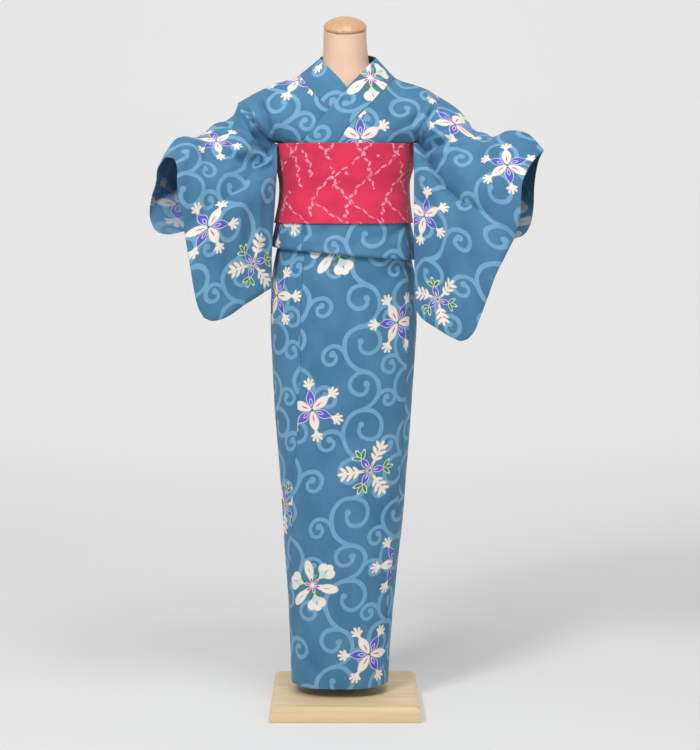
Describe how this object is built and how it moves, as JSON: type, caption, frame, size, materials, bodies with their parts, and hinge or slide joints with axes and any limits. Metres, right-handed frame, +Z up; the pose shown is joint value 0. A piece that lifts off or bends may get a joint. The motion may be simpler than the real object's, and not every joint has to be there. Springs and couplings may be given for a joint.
{
  "type": "cotton yukata robe on a limbless dress form",
  "caption": "Ankle-length wrapped cotton robe with wide hanging sleeves and a broad sash, filled out on a limbless form that stands on a square wooden plate.",
  "frame": {"origin": "centre of the base plate's underside", "axes": "+Z up; the robe's front faces -Y; +X towards the wearer's left (the viewer's right from the front)"},
  "size_m": [0.7718, 0.3363, 1.4021],
  "materials": {
    "yukata_cotton": "matt plain-weave cotton, blue with a lighter scroll print and scattered pale flowers",
    "belt_cloth": "firm red weave with a pink lattice of small leaves",
    "form_skin": "smooth beige jersey cover",
    "wood": "clear-varnished pale wood",
    "pole_steel": "satin steel tube"
  },
  "bodies": {
    "root": {"base_plate": "wood", "belt": "belt_cloth", "body_left_back_skirt": "yukata_cotton", "body_left_back_top": "yukata_cotton", "body_left_front_skirt": "yukata_cotton", "body_left_front_top": "yukata_cotton", "body_right_back_skirt": "yukata_cotton", "body_right_back_top": "yukata_cotton", "body_right_front_skirt": "yukata_cotton", "body_right_front_top": "yukata_cotton", "collar": "yukata_cotton", "form_torso": "form_skin", "neck_cap": "wood", "overlap_left": "yukata_cotton", "overlap_right": "yukata_cotton", "pole": "pole_steel", "sleeve_left_back_bag": "yukata_cotton", "sleeve_left_back_tube": "yukata_cotton", "sleeve_left_front_bag": "yukata_cotton", "sleeve_left_front_tube": "yukata_cotton", "sleeve_right_back_bag": "yukata_cotton", "sleeve_right_back_tube": "yukata_cotton", "sleeve_right_front_bag": "yukata_cotton", "sleeve_right_front_tube": "yukata_cotton"}
  },
  "joints": []
}
